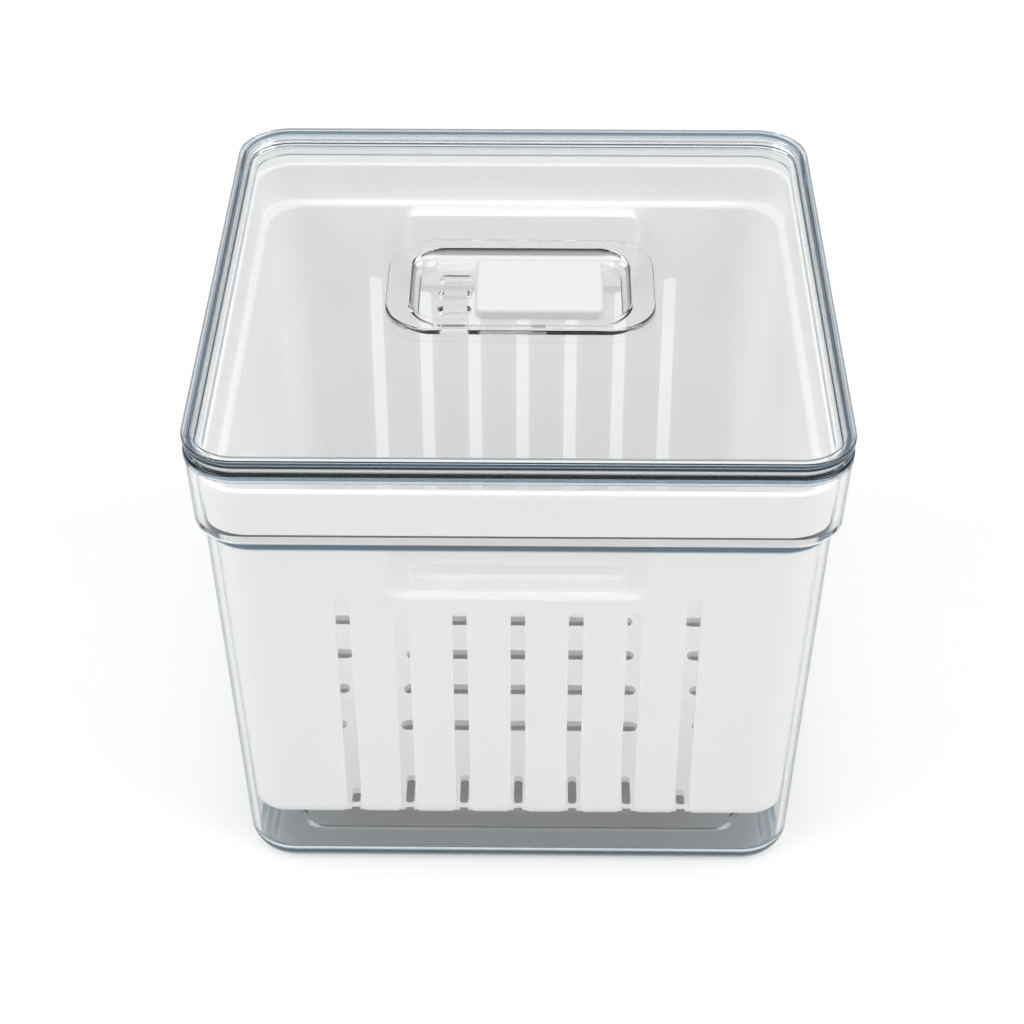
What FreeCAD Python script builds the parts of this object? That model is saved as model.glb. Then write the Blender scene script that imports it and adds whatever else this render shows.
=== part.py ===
import FreeCAD, Part
import math
import os
import Sketcher

# A square fridge keeper for fruit and vegetables. A clear bin holds a white colander basket, which hangs by its
# own step on the bin's shoulder. A clear lid with a raised rim closes the bin, and a white slider in the lid's
# middle opens and shuts three air vents.
# The frame: Z is up, Y runs from front to back, and the origin is the middle of the bin's foot.
# All lengths are in millimetres and all angles in degrees.

SIZES = {
    # The whole keeper
    "lid_width": 160.0,  # outside of the lid at its top edge, both ways
    "keeper_height": 142.0,  # from the table to the top of the lid's rim
    "lid_corner": 14.0,  # plan radius of the lid's corners at its top edge
    "band_draft": 3.0,  # lean of the lid's edge and of the bin above its shoulder
    "wall_draft": 1.95,  # lean of the bin below its shoulder
    "seat_gap": 0.2,  # air between pieces that rest on each other
    # The clear bin
    "bin_wall": 2.0,
    "shoulder_drop": 26.0,  # from the top of the lid's rim down to the underside of the shoulder
    "shoulder_step": 1.8,  # how far the shoulder stands out on the outside
    "base_plate": 2.2,  # floor of the bin at the foot ring
    "base_corner": 9.0,  # plan radius at the foot
    "base_round": 5.0,  # the bin's large bottom edge, outside
    "floor_round": 3.0,  # the same edge, inside
    "platform_margin": 11.6,  # from the bin's side at the foot to the raised middle of the floor
    "platform_rise": 1.2,
    "platform_corner": 9.0,
    "platform_slope": 50.0,
    "platform_edge": 1.6,
    "shoulder_round": 0.8,
    "bead_height": 2.0,  # the thickened top edge of the bin
    "bead_proud": 0.25,
    "bead_round": 0.7,
    # The white colander basket
    "basket_gap": 0.5,  # air between the basket and the bin, on each side
    "basket_wall": 1.8,
    "basket_floor": 2.0,
    "basket_drop": 10.5,  # from the top of the lid's rim down to the basket's rim
    "basket_bottom": 17.5,
    "basket_draft": 2.2,
    "basket_corner": 9.0,  # plan radius at the bottom
    "basket_band_corner": 11.5,  # plan radius of the part above the step
    "basket_round": 4.0,  # bottom edge outside
    "step_round": 1.2,  # the step's inner edge
    "step_hollow": 0.5,  # the corner where the step meets the band above it
    "rim_round": 0.6,  # the basket's top edge
    "slot_margin": 27.0,  # from the basket's side at its bottom to the middle of the outermost wall slot
    "slot_width": 3.6,  # at the top of a wall slot
    "slot_foot_width": 3.9,  # where it runs out through the bottom edge
    "slot_drop": 5.6,  # from the bottom of the grip down to the top of the five slots under it
    "end_slot_drop": 1.0,  # the same for the outermost slots
    "slot_corner": 0.9,
    "slot_edge_round": 0.7,  # the soft outside edges of the slots
    "slot_flare": 1.1,  # round of the notch at the bottom edge
    "flare_height": 2.8,  # top of that round above the basket's bottom
    "slot_bite": 0.6,  # how far a wall slot cuts into the floor, past the wall's inner face
    "lip_width": 0.8,  # bridge of floor between a wall slot and its floor slot
    "lip_height": 0.8,
    "floor_slot_width": 2.3,
    "floor_slot_length": 10.6,
    "end_floor_slot_length": 5.6,
    "row_margin": 31.7,  # from the basket's inside wall to the first row of cross slots in the floor
    "row_width": 4.0,
    "row_strip": 15.2,  # floor between a row's middle slot and its outer ones
    "row_end_margin": 6.8,  # from an outer slot to the basket's inside wall
    "row_end_length": 14.0,
    # The hand grips in the basket's front and back
    "grip_width": 67.0,  # at the wall's outer face
    "grip_back_width": 53.0,
    "grip_drop": 19.4,  # from the underside of the shoulder down to the bottom of the grip
    "grip_height": 19.9,
    "grip_depth": 2.7,  # below the wall's outer face
    "grip_corner": 7.0,
    "grip_back_corner": 2.0,
    "grip_edge_round": 0.8,
    "grip_block_width": 66.0,
    "finger_slot_length": 52.4,
    "finger_slot_height": 4.6,
    "finger_slot_rise": 6.2,  # from the bottom of the grip to the middle of the finger slot
    # The clear lid
    "lid_edge": 4.1,  # height of the lid's outer side
    "lid_flange": 2.4,  # its upper part, which stands out over a groove
    "groove_depth": 0.9,
    "lid_rim": 2.2,  # width of the raised rim on top
    "rim_lean": 4.0,
    "panel_drop": 2.9,  # from the top of the rim down to the flat panel
    "panel_thick": 2.0,
    "rim_foot_round": 2.0,
    "rim_edge_round": 0.6,
    "plug_gap": 0.45,  # air between the lid's plug and the bin's mouth
    "plug_wall": 1.8,
    "plug_depth": 3.6,  # how far the plug reaches below the lid's outer edge
    "boss_width": 69.3,
    "boss_depth": 43.8,
    "boss_corner": 12.5,
    "boss_rise": 1.4,
    "boss_round": 0.6,
    "boss_land": 6.1,  # flat top of the boss left and right of the sunken cup
    "boss_side_land": 4.8,  # the same in front and behind
    "cup_corner": 9.0,
    "cup_sink": 3.3,
    "cup_lean": 36.0,
    "cup_floor": 1.6,
    "vent_pitch": 7.3,
    "vent_length": 8.8,
    "vent_width": 3.2,
    "vent_margin": 4.8,  # from the left end of the cup's floor to the vents
    "guide_width": 3.4,
    # The white vent slider
    "slider_side_gap": 2.4,  # from the slider to the front and the back of the cup's floor
    "slider_open_gap": 4.6,  # from the slider to the right end of the cup's floor when the vents are open
    "slider_shut_gap": 0.9,  # from the slider to the left end when they are shut
    "slider_travel": 13.5,
    "slider_thick": 3.0,
    "slider_corner": 2.6,
    "slider_round": 1.1,
    "foot_length": 4.0,
    "foot_gap": 0.3,  # air round the foot in its guide slot
    "foot_barb": 1.3,  # how far the foot's head reaches past its stem, on each side
    "foot_head": 1.3,
}

TOUCH = 0.05  # how near an edge lies to a face that it is on

doc = FreeCAD.newDocument("fridge_keeper")
sheet = doc.addObject("Spreadsheet::Sheet", "Sizes")
for row, (alias, number) in enumerate(SIZES.items(), start=1):
    sheet.set("A%d" % row, alias.replace("_", " "))
    sheet.set("B%d" % row, str(number))
    sheet.setAlias("B%d" % row, alias)
doc.recompute()

# Heights and widths that several pieces share, as expressions on the sheet

BIN_TOP = "(Sizes.keeper_height - Sizes.lid_edge - Sizes.seat_gap)"
BEAD_FOOT = "(%s - Sizes.bead_height)" % BIN_TOP
SHOULDER = "(Sizes.keeper_height - Sizes.shoulder_drop)"
SHOULDER_TOP = "(%s + Sizes.bin_wall)" % SHOULDER
STEP_UNDER = "(%s + Sizes.seat_gap)" % SHOULDER_TOP
STEP_TOP = "(%s + Sizes.basket_wall)" % STEP_UNDER
BASKET_TOP = "(Sizes.keeper_height - Sizes.basket_drop)"
BASKET_FLOOR_TOP = "(Sizes.basket_bottom + Sizes.basket_floor)"
GRIP_BOTTOM = "(%s - Sizes.grip_drop)" % SHOULDER
SLOT_TOP = "(%s - Sizes.slot_drop)" % GRIP_BOTTOM
END_SLOT_TOP = "(%s - Sizes.end_slot_drop)" % GRIP_BOTTOM
PANEL_TOP = "(Sizes.keeper_height - Sizes.panel_drop)"
PANEL_UNDER = "(Sizes.keeper_height - Sizes.panel_drop - Sizes.panel_thick)"
LID_EDGE_UNDER = "(Sizes.keeper_height - Sizes.lid_edge)"
FLANGE_UNDER = "(Sizes.keeper_height - Sizes.lid_flange)"
BOSS_TOP = "(%s + Sizes.boss_rise)" % PANEL_TOP
CUP_FLOOR_TOP = "(%s - Sizes.cup_sink)" % BOSS_TOP
CUP_UNDER = "(%s - Sizes.cup_floor)" % CUP_FLOOR_TOP

# The cup in the lid's middle and the slider in it

CUP_WIDTH = "(Sizes.boss_width - 2 * Sizes.boss_land)"
CUP_DEPTH = "(Sizes.boss_depth - 2 * Sizes.boss_side_land)"
CUP_SLOPE = "(Sizes.cup_sink * tan(Sizes.cup_lean))"
CUP_FLOOR_WIDTH = "(%s - 2 * %s)" % (CUP_WIDTH, CUP_SLOPE)
CUP_FLOOR_DEPTH = "(%s - 2 * %s)" % (CUP_DEPTH, CUP_SLOPE)
SLIDER_GAPS = "(Sizes.slider_travel + Sizes.slider_open_gap + Sizes.slider_shut_gap)"
SLIDER_LENGTH = "(%s - %s)" % (CUP_FLOOR_WIDTH, SLIDER_GAPS)
SLIDER_DEPTH = "(%s - 2 * Sizes.slider_side_gap)" % CUP_FLOOR_DEPTH
SLIDER_MIDDLE = "(%s / 2 - Sizes.slider_open_gap - %s / 2)" % (CUP_FLOOR_WIDTH, SLIDER_LENGTH)


def band_width(height):
    """Outer width of the lid's edge and of the bin above its shoulder, at a height."""
    return "(Sizes.lid_width - 2 * (Sizes.keeper_height - %s) * tan(Sizes.band_draft))" % height


def band_corner(height):
    return "(Sizes.lid_corner - (Sizes.keeper_height - %s) * tan(Sizes.band_draft))" % height


def body_width(height):
    """Outer width of the bin below its shoulder, at a height."""
    lean = "2 * (%s - %s) * tan(Sizes.wall_draft)" % (SHOULDER, height)
    return "(%s - 2 * Sizes.shoulder_step - %s)" % (band_width(SHOULDER), lean)


def body_corner(height):
    return "(Sizes.base_corner + %s * tan(Sizes.wall_draft))" % height


def basket_width(height):
    """Outer width of the basket below its step, at a height."""
    room = "%s - 2 * Sizes.bin_wall - 2 * Sizes.basket_gap" % body_width(SHOULDER)
    return "(%s - 2 * (%s - %s) * tan(Sizes.basket_draft))" % (room, SHOULDER, height)


def basket_corner(height):
    return "(Sizes.basket_corner + (%s - Sizes.basket_bottom) * tan(Sizes.basket_draft))" % height


def basket_band_width(height):
    return "(%s - 2 * Sizes.bin_wall - 2 * Sizes.basket_gap)" % band_width(height)


def plug_width(height):
    """Outer width of the plug under the lid, at a height."""
    return "(%s - 2 * Sizes.bin_wall - 2 * Sizes.plug_gap)" % band_width(height)


# Sketches


def origin_plane(body, role):
    return [feature for feature in body.Origin.OriginFeatures if feature.Role == role][0]


def add_sketch(body, name, role, offset, shift="0"):
    """A sketch on one of the body's own planes, moved along the plane's normal and along its first axis."""
    sketch = body.newObject("Sketcher::SketchObject", name)
    sketch.AttachmentSupport = [(origin_plane(body, role), "")]
    sketch.MapMode = "FlatFace"
    sketch.setExpression("AttachmentOffset.Base.z", offset)
    sketch.setExpression("AttachmentOffset.Base.x", shift)
    return sketch


def vector(x, y):
    return FreeCAD.Vector(x, y, 0)


def add_line(sketch, start, end):
    return sketch.addGeometry(Part.LineSegment(vector(*start), vector(*end)), False)


def add_arc(sketch, centre, radius, start, end):
    circle = Part.Circle(vector(*centre), FreeCAD.Vector(0, 0, 1), radius)
    return sketch.addGeometry(Part.ArcOfCircle(circle, math.radians(start), math.radians(end)), False)


def add_size(sketch, name, constraint, expression):
    index = sketch.addConstraint(constraint)
    sketch.renameConstraint(index, name)
    sketch.setExpression("Constraints." + name, expression)


def add_rounded_rectangle(sketch, width, depth, radius, middle=("0", "0"), prefix=""):
    """A rectangle with round corners; its sizes and its middle are expressions on the sheet."""
    w, d, r, x, y = [sketch.evalExpression(text) for text in (width, depth, radius) + tuple(middle)]
    left, right, low, high = x - w / 2, x + w / 2, y - d / 2, y + d / 2
    sides = [
        add_line(sketch, (left + r, low), (right - r, low)),
        add_arc(sketch, (right - r, low + r), r, -90, 0),
        add_line(sketch, (right, low + r), (right, high - r)),
        add_arc(sketch, (right - r, high - r), r, 0, 90),
        add_line(sketch, (right - r, high), (left + r, high)),
        add_arc(sketch, (left + r, high - r), r, 90, 180),
        add_line(sketch, (left, high - r), (left, low + r)),
        add_arc(sketch, (left + r, low + r), r, 180, 270),
    ]
    for side, following in zip(sides, sides[1:] + sides[:1]):
        sketch.addConstraint(Sketcher.Constraint("Tangent", side, 2, following, 1))
    for side in (sides[0], sides[4]):
        sketch.addConstraint(Sketcher.Constraint("Horizontal", side))
    for side in (sides[2], sides[6]):
        sketch.addConstraint(Sketcher.Constraint("Vertical", side))
    for corner in (sides[3], sides[5], sides[7]):
        sketch.addConstraint(Sketcher.Constraint("Equal", sides[1], corner))
    bottom, right_side, top, left_side = sides[0], sides[2], sides[4], sides[6]
    distance = Sketcher.Constraint
    add_size(sketch, prefix + "width", distance("DistanceX", left_side, 1, right_side, 1, w), width)
    add_size(sketch, prefix + "depth", distance("DistanceY", bottom, 1, top, 1, d), depth)
    add_size(sketch, prefix + "radius", distance("Radius", sides[1], r), radius)
    right_edge = "%s + (%s) / 2" % (middle[0], width)
    top_edge = "%s + (%s) / 2" % (middle[1], depth)
    add_size(sketch, prefix + "right", distance("DistanceX", -1, 1, right_side, 1, right), right_edge)
    add_size(sketch, prefix + "top", distance("DistanceY", -1, 1, top, 1, high), top_edge)


def add_stadium(sketch, length, width, middle=("0", "0"), prefix=""):
    """A slot with round ends along the sketch's first axis."""
    span, w, x, y = [sketch.evalExpression(text) for text in (length, width) + tuple(middle)]
    r = w / 2
    right, left = x + span / 2 - r, x - span / 2 + r
    low = add_line(sketch, (left, y - r), (right, y - r))
    right_end = add_arc(sketch, (right, y), r, -90, 90)
    high = add_line(sketch, (right, y + r), (left, y + r))
    left_end = add_arc(sketch, (left, y), r, 90, 270)
    loop = [low, right_end, high, left_end]
    for side, following in zip(loop, loop[1:] + loop[:1]):
        sketch.addConstraint(Sketcher.Constraint("Tangent", side, 2, following, 1))
    for side in (low, high):
        sketch.addConstraint(Sketcher.Constraint("Horizontal", side))
    distance = Sketcher.Constraint
    half = "(%s) / 2" % width
    add_size(sketch, prefix + "radius", distance("Radius", right_end, r), half)
    reach = "(%s) - (%s)" % (length, width)
    add_size(sketch, prefix + "reach", distance("DistanceX", left_end, 3, right_end, 3, right - left), reach)
    end = "%s + (%s - %s) / 2" % (middle[0], length, width)
    add_size(sketch, prefix + "end", distance("DistanceX", -1, 1, right_end, 3, right), end)
    add_size(sketch, prefix + "height", distance("DistanceY", -1, 1, right_end, 3, y), middle[1])


# Features


def add_pad(body, name, sketch, length, taper="0"):
    pad = body.newObject("PartDesign::Pad", name)
    pad.Profile = sketch
    pad.setExpression("Length", length)
    pad.setExpression("TaperAngle", taper)
    doc.recompute()
    return pad


def add_pocket(body, name, sketch, length, taper="0", forward=False):
    """A cut against the sketch's normal, or along it; it has to take something away."""
    before = body.Tip.Shape.Volume
    pocket = body.newObject("PartDesign::Pocket", name)
    pocket.Profile = sketch
    pocket.Reversed = forward
    pocket.setExpression("Length", length)
    pocket.setExpression("TaperAngle", taper)
    doc.recompute()
    if not pocket.Shape.Volume < before:
        raise RuntimeError(name + " cuts nothing")
    return pocket


def add_fillet(body, name, radius, wanted):
    """Rounds the edges of the body's last feature that the test function picks."""
    base = body.Tip
    edges = ["Edge%d" % (i + 1) for i, edge in enumerate(base.Shape.Edges) if wanted(edge)]
    if not edges:
        raise RuntimeError(name + " finds no edge")
    fillet = body.newObject("PartDesign::Fillet", name)
    fillet.Base = (base, edges)
    fillet.setExpression("Radius", radius)
    doc.recompute()
    if "Invalid" in fillet.State:
        raise RuntimeError(name + " can't be made")
    return fillet


def value(expression):
    return float(sheet.evalExpression(expression.replace("Sizes.", "")))


def level(height):
    """Test for edges that lie flat at a height."""
    z = value(height)

    def test(edge):
        return abs(edge.BoundBox.ZMin - z) < 0.01 and abs(edge.BoundBox.ZMax - z) < 0.01

    return test


def level_ring(height, width):
    """Test for the edges of a flat loop of a given width, at a height."""
    flat = level(height)
    half = value(width) / 2

    def test(edge):
        reach = max(abs(edge.BoundBox.XMin), abs(edge.BoundBox.XMax), abs(edge.BoundBox.YMin), abs(edge.BoundBox.YMax))
        return flat(edge) and abs(reach - half) < 0.02

    return test


def add_both_ways(body, name, originals, spacing, count):
    """Repeats cuts along X and then mirrors the row to the other wall."""
    pattern = body.newObject("PartDesign::MultiTransform", name)
    row = body.newObject("PartDesign::LinearPattern", name + "_row")
    row.Direction = (origin_line(body, "X_Axis"), [""])
    row.setExpression("Length", "%s * %d" % (spacing, count - 1))
    row.Occurrences = count
    mirror = body.newObject("PartDesign::Mirrored", name + "_mirror")
    mirror.MirrorPlane = (origin_plane(body, "XZ_Plane"), [""])
    pattern.Originals = originals
    pattern.Transformations = [row, mirror]
    body.Tip = pattern
    doc.recompute()
    return pattern


def origin_line(body, role):
    return [feature for feature in body.Origin.OriginFeatures if feature.Role == role][0]


def add_body(name):
    body = doc.addObject("PartDesign::Body", name)
    body.Label = name
    return body


# The clear bin


def make_bin():
    body = add_body("outer_bin")

    sketch = add_sketch(body, "bin_foot", "XY_Plane", "0")
    add_rounded_rectangle(sketch, body_width("0"), body_width("0"), body_corner("0"))
    add_pad(body, "bin_body", sketch, SHOULDER, "Sizes.wall_draft")
    add_fillet(body, "bin_bottom_edge", "Sizes.base_round", level("0"))

    sketch = add_sketch(body, "bin_shoulder", "XY_Plane", SHOULDER)
    width = band_width(SHOULDER)
    add_rounded_rectangle(sketch, width, width, band_corner(SHOULDER))
    add_pad(body, "bin_band", sketch, "%s - %s" % (BEAD_FOOT, SHOULDER), "Sizes.band_draft")
    add_fillet(body, "shoulder_edge", "Sizes.shoulder_round", level_ring(SHOULDER, width))

    sketch = add_sketch(body, "bin_bead", "XY_Plane", BEAD_FOOT)
    bead = "(%s + 2 * Sizes.bead_proud)" % band_width(BEAD_FOOT)
    add_rounded_rectangle(sketch, bead, bead, "(%s + Sizes.bead_proud)" % band_corner(BEAD_FOOT))
    add_pad(body, "bin_rim", sketch, "Sizes.bead_height")
    add_fillet(body, "bead_edges", "Sizes.bead_round", level_ring(BIN_TOP, bead))

    floor = "Sizes.base_plate"
    sketch = add_sketch(body, "bin_floor", "XY_Plane", floor)
    width = "(%s - 2 * Sizes.bin_wall)" % body_width(floor)
    add_rounded_rectangle(sketch, width, width, "(%s - Sizes.bin_wall)" % body_corner(floor))
    depth = "%s - Sizes.base_plate" % SHOULDER_TOP
    add_pocket(body, "bin_inside", sketch, depth, "Sizes.wall_draft", forward=True)

    sketch = add_sketch(body, "bin_ledge", "XY_Plane", SHOULDER_TOP)
    width = "(%s - 2 * Sizes.bin_wall)" % band_width(SHOULDER_TOP)
    add_rounded_rectangle(sketch, width, width, "(%s - Sizes.bin_wall)" % band_corner(SHOULDER_TOP))
    depth = "%s - %s" % (BIN_TOP, SHOULDER_TOP)
    add_pocket(body, "bin_mouth", sketch, depth, "Sizes.band_draft", forward=True)
    add_fillet(body, "bin_floor_edge", "Sizes.floor_round", level(floor))

    side = "(%s - 2 * Sizes.platform_margin)" % body_width("0")
    sketch = add_sketch(body, "platform_outline", "XY_Plane", floor)
    add_rounded_rectangle(sketch, side, side, "Sizes.platform_corner")
    add_pad(body, "platform", sketch, "Sizes.platform_rise", "-Sizes.platform_slope")
    platform_top = "(%s + Sizes.platform_rise)" % floor
    add_fillet(body, "platform_edge_round", "Sizes.platform_edge", level(platform_top))
    add_fillet(body, "platform_foot_round", "Sizes.platform_edge", level_ring(floor, side))

    side = "(%s - Sizes.base_plate)" % side
    sketch = add_sketch(body, "foot_recess_outline", "XY_Plane", "0")
    add_rounded_rectangle(sketch, side, side, "(Sizes.platform_corner - Sizes.base_plate / 2)")
    add_pocket(body, "foot_recess", sketch, "Sizes.platform_rise", "-Sizes.platform_slope", forward=True)
    return body


# The white colander basket


def add_wall_slot(body, name, top, first):
    """One upright slot in the front wall, open through the bottom edge with a small flare."""
    sketch = add_sketch(body, name + "_outline", "XZ_Plane", "%s / 2" % basket_width(STEP_UNDER), first)
    names = ("slot_width", "slot_foot_width", "slot_corner", "slot_flare", "flare_height", "basket_bottom")
    width, foot, corner, flare, rise, bottom = [value(alias) for alias in names]
    high = value(top)
    below = bottom - corner
    outline = [
        add_line(sketch, (-width / 2 + corner, high), (width / 2 - corner, high)),
        add_arc(sketch, (width / 2 - corner, high - corner), corner, 0, 90),
        add_line(sketch, (width / 2, high - corner), (foot / 2, bottom + rise)),
        add_arc(sketch, (foot / 2 + flare, bottom + rise), flare, 180, 270),
        add_line(sketch, (foot / 2 + flare, bottom + rise - flare), (foot / 2 + flare, below)),
        add_line(sketch, (foot / 2 + flare, below), (-foot / 2 - flare, below)),
        add_line(sketch, (-foot / 2 - flare, below), (-foot / 2 - flare, bottom + rise - flare)),
        add_arc(sketch, (-foot / 2 - flare, bottom + rise), flare, 270, 360),
        add_line(sketch, (-foot / 2, bottom + rise), (-width / 2, high - corner)),
        add_arc(sketch, (-width / 2 + corner, high - corner), corner, 90, 180),
    ]
    top_line, top_right, right, flare_right, drop, foot_line, lift, flare_left, left, top_left = outline
    rule = Sketcher.Constraint
    # Each pair is one end and the start of the next; an arc's second end comes first where it runs backwards.
    joins = [
        (top_line, 2, top_right, 2),
        (top_right, 1, right, 1),
        (right, 2, flare_right, 1),
        (flare_right, 2, drop, 1),
        (drop, 2, foot_line, 1),
        (foot_line, 2, lift, 1),
        (lift, 2, flare_left, 1),
        (flare_left, 2, left, 1),
        (left, 2, top_left, 2),
        (top_left, 1, top_line, 1),
    ]
    for join in joins:
        sketch.addConstraint(rule("Coincident", *join))
    sketch.addConstraint(rule("Horizontal", foot_line))
    sketch.addConstraint(rule("Vertical", drop))
    sketch.addConstraint(rule("Vertical", lift))
    sketch.addConstraint(rule("Symmetric", right, 1, left, 2, -2))
    sketch.addConstraint(rule("Symmetric", right, 2, left, 1, -2))
    sketch.addConstraint(rule("Equal", top_right, top_left))
    sketch.addConstraint(rule("Equal", flare_right, flare_left))
    sketch.addConstraint(rule("Vertical", top_line, 2, top_right, 3))
    sketch.addConstraint(rule("Horizontal", top_right, 3, top_right, 1))
    sketch.addConstraint(rule("Vertical", top_line, 1, top_left, 3))
    sketch.addConstraint(rule("Horizontal", top_left, 3, top_left, 2))
    sketch.addConstraint(rule("Horizontal", flare_right, 3, flare_right, 1))
    sketch.addConstraint(rule("Vertical", flare_right, 3, flare_right, 2))
    sketch.addConstraint(rule("Horizontal", flare_left, 3, flare_left, 2))
    sketch.addConstraint(rule("Vertical", flare_left, 3, flare_left, 1))
    add_size(sketch, "corner", rule("Radius", top_right, corner), "Sizes.slot_corner")
    add_size(sketch, "flare", rule("Radius", flare_right, flare), "Sizes.slot_flare")
    add_size(sketch, "width", rule("DistanceX", left, 2, right, 1, width), "Sizes.slot_width")
    add_size(sketch, "foot", rule("DistanceX", left, 1, right, 2, foot), "Sizes.slot_foot_width")
    add_size(sketch, "top", rule("DistanceY", -1, 1, top_line, 1, high), top)
    rise_to = "Sizes.basket_bottom + Sizes.flare_height"
    add_size(sketch, "flare_top", rule("DistanceY", -1, 1, right, 2, bottom + rise), rise_to)
    low = "Sizes.basket_bottom - Sizes.slot_corner"
    add_size(sketch, "low", rule("DistanceY", -1, 1, foot_line, 1, below), low)
    inner = "%s / 2 - Sizes.basket_wall" % basket_width(BASKET_FLOOR_TOP)
    reach = "%s / 2 - (%s) + Sizes.slot_bite" % (basket_width(STEP_UNDER), inner)
    return add_pocket(body, name, sketch, reach)


def add_floor_slot(body, name, length, first):
    """A narrow slot in the floor that carries a wall slot on, behind a thin lip."""
    sketch = add_sketch(body, name + "_outline", "XY_Plane", BASKET_FLOOR_TOP + " + Sizes.basket_round", first)
    inner = "%s / 2 - Sizes.basket_wall" % basket_width(BASKET_FLOOR_TOP)
    middle = "-(%s - Sizes.slot_bite - Sizes.lip_width - %s / 2)" % (inner, length)
    width = "Sizes.floor_slot_width"
    add_rounded_rectangle(sketch, width, length, "Sizes.floor_slot_width * 0.45", ("0", middle))
    return add_pocket(body, name, sketch, "Sizes.basket_floor + Sizes.basket_round")


def add_lip_hollow(body, name, first):
    """The hollow under a lip, which joins the wall slot and its floor slot below the floor's top."""
    sketch = add_sketch(body, name + "_outline", "XY_Plane", "Sizes.basket_bottom", first)
    inner = "%s / 2 - Sizes.basket_wall" % basket_width(BASKET_FLOOR_TOP)
    middle = "-(%s - Sizes.slot_bite - Sizes.lip_width / 2)" % inner
    length = "(Sizes.lip_width + Sizes.floor_slot_width)"
    add_rounded_rectangle(sketch, "Sizes.floor_slot_width", length, "Sizes.floor_slot_width / 8", ("0", middle))
    return add_pocket(body, name, sketch, "Sizes.basket_floor - Sizes.lip_height", forward=True)


def add_grips(body):
    """A hand grip in the front wall and its mirror in the back: a block inside, a scoop and a finger slot."""
    face = "%s / 2" % basket_width(GRIP_BOTTOM)
    back = "(%s - Sizes.grip_depth)" % face
    block_height = "(%s - %s + Sizes.basket_wall)" % (STEP_UNDER, GRIP_BOTTOM)
    block_middle = "(%s - Sizes.basket_wall + %s / 2)" % (GRIP_BOTTOM, block_height)

    sketch = add_sketch(body, "grip_block_outline", "XZ_Plane", "%s - Sizes.basket_wall" % back)
    width = "Sizes.grip_block_width"
    add_rounded_rectangle(sketch, width, block_height, "Sizes.grip_back_corner", ("0", block_middle))
    block = add_pad(body, "grip_block", sketch, "Sizes.grip_depth + Sizes.basket_wall / 2")

    # The scoop's sides lean, so its outline in front of the wall is wider than at the wall's face.
    scoop_middle = "(%s + Sizes.grip_height / 2)" % GRIP_BOTTOM
    spread = "(Sizes.grip_width - Sizes.grip_back_width) * Sizes.basket_wall / Sizes.grip_depth"
    outer = add_sketch(body, "grip_mouth", "XZ_Plane", "%s + Sizes.basket_wall" % face)
    width = "(Sizes.grip_width + %s)" % spread
    add_rounded_rectangle(outer, width, "Sizes.grip_height", "Sizes.grip_corner", ("0", scoop_middle))
    inner = add_sketch(body, "grip_back", "XZ_Plane", back)
    width = "Sizes.grip_back_width"
    add_rounded_rectangle(inner, width, "Sizes.grip_height", "Sizes.grip_back_corner", ("0", scoop_middle))
    scoop = body.newObject("PartDesign::SubtractiveLoft", "grip_scoop")
    scoop.Profile = outer
    scoop.Sections = [inner]
    scoop.Ruled = True
    doc.recompute()

    sketch = add_sketch(body, "finger_slot_outline", "XZ_Plane", face)
    span, tall = "Sizes.finger_slot_length", "Sizes.finger_slot_height"
    add_stadium(sketch, span, tall, ("0", "(%s + Sizes.finger_slot_rise)" % GRIP_BOTTOM))
    slot = add_pocket(body, "finger_slot", sketch, "Sizes.grip_depth + 2 * Sizes.basket_wall")

    mirror = body.newObject("PartDesign::Mirrored", "back_grip")
    mirror.Originals = [block, scoop, slot]
    mirror.MirrorPlane = (origin_plane(body, "XZ_Plane"), [""])
    body.Tip = mirror
    doc.recompute()


def add_floor_rows(body):
    """Rows of cross slots in the floor: one long slot in the middle and a short one at each side."""
    half = "(%s / 2 - Sizes.basket_wall)" % basket_width(BASKET_FLOOR_TOP)
    first = "(Sizes.row_margin - %s)" % half
    sketch = add_sketch(body, "row_outline", "XY_Plane", BASKET_FLOOR_TOP + " + Sizes.basket_round")
    width = "Sizes.row_width"
    taken = "(Sizes.row_end_margin + Sizes.row_end_length + Sizes.row_strip)"
    add_stadium(sketch, "2 * (%s - %s)" % (half, taken), width, ("0", first), "middle_")
    end = "(%s - Sizes.row_end_margin - Sizes.row_end_length / 2)" % half
    add_stadium(sketch, "Sizes.row_end_length", width, (end, first), "right_")
    add_stadium(sketch, "Sizes.row_end_length", width, ("-" + end, first), "left_")
    cut = add_pocket(body, "floor_row", sketch, "Sizes.basket_floor + 2 * Sizes.basket_round")
    rows = body.newObject("PartDesign::LinearPattern", "floor_rows")
    rows.Originals = [cut]
    rows.Direction = (origin_line(body, "Y_Axis"), [""])
    rows.setExpression("Length", "-2 * %s" % first)
    rows.Occurrences = 6
    body.Tip = rows
    doc.recompute()


def on_outside(edge):
    """Test for edges that lie on the outer face of the basket's front or back wall."""
    middle = edge.CenterOfMass
    half = value(basket_width("%.6f" % middle.z)) / 2
    return abs(abs(middle.y) - half) < TOUCH


def slot_side(reach):
    """Test for the long outside edges of the wall slots, no further than a reach from the middle line."""
    shortest = value("%s - %s" % (SLOT_TOP, BASKET_FLOOR_TOP)) / 2

    def test(edge):
        box = edge.BoundBox
        upright = box.ZLength > shortest and box.XLength < value("slot_width") / 2
        return upright and abs(edge.CenterOfMass.x) < reach and on_outside(edge)

    return test


def grip_outline(edge):
    """Test for the edges where a scoop meets the wall's outer face."""
    box = edge.BoundBox
    low = value(GRIP_BOTTOM)
    inside = box.ZMin > low - TOUCH and box.ZMax < low + value("grip_height") + TOUCH
    return inside and box.XMax < value("grip_width") and box.XMin > -value("grip_width") and on_outside(edge)


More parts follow.
